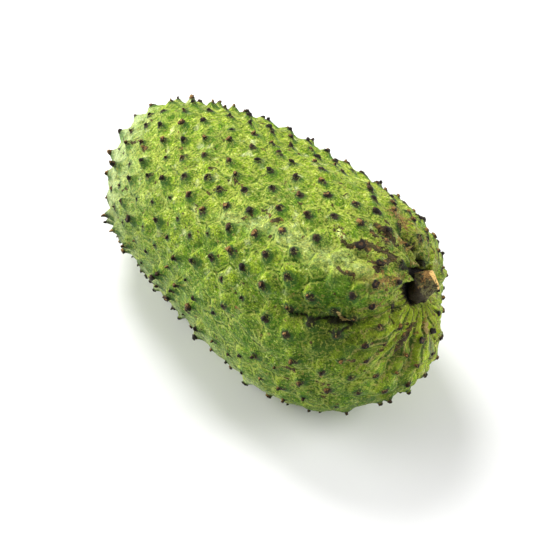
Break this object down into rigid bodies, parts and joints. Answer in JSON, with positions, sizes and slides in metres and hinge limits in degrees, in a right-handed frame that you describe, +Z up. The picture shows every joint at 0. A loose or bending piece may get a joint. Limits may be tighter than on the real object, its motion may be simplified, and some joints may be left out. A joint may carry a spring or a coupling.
{
  "type": "soursop fruit",
  "caption": "Whole green soursop lying on its side, with rows of soft curved spines, a folded stem end and a short woody stem stub.",
  "frame": {"origin": "on the surface the fruit lies on, under the middle of its bounding box", "axes": "+X along the fruit towards its stem end, +Y across it, +Z up as it lies at rest"},
  "size_m": [0.2366, 0.13, 0.1235],
  "materials": {
    "skin": "thin leathery green rind, mottled light and dark, low sheen",
    "stem_bark": "rough olive-brown bark with a pale cut end"
  },
  "bodies": {
    "root": {"fruit": "skin", "stem": "stem_bark"}
  },
  "joints": []
}
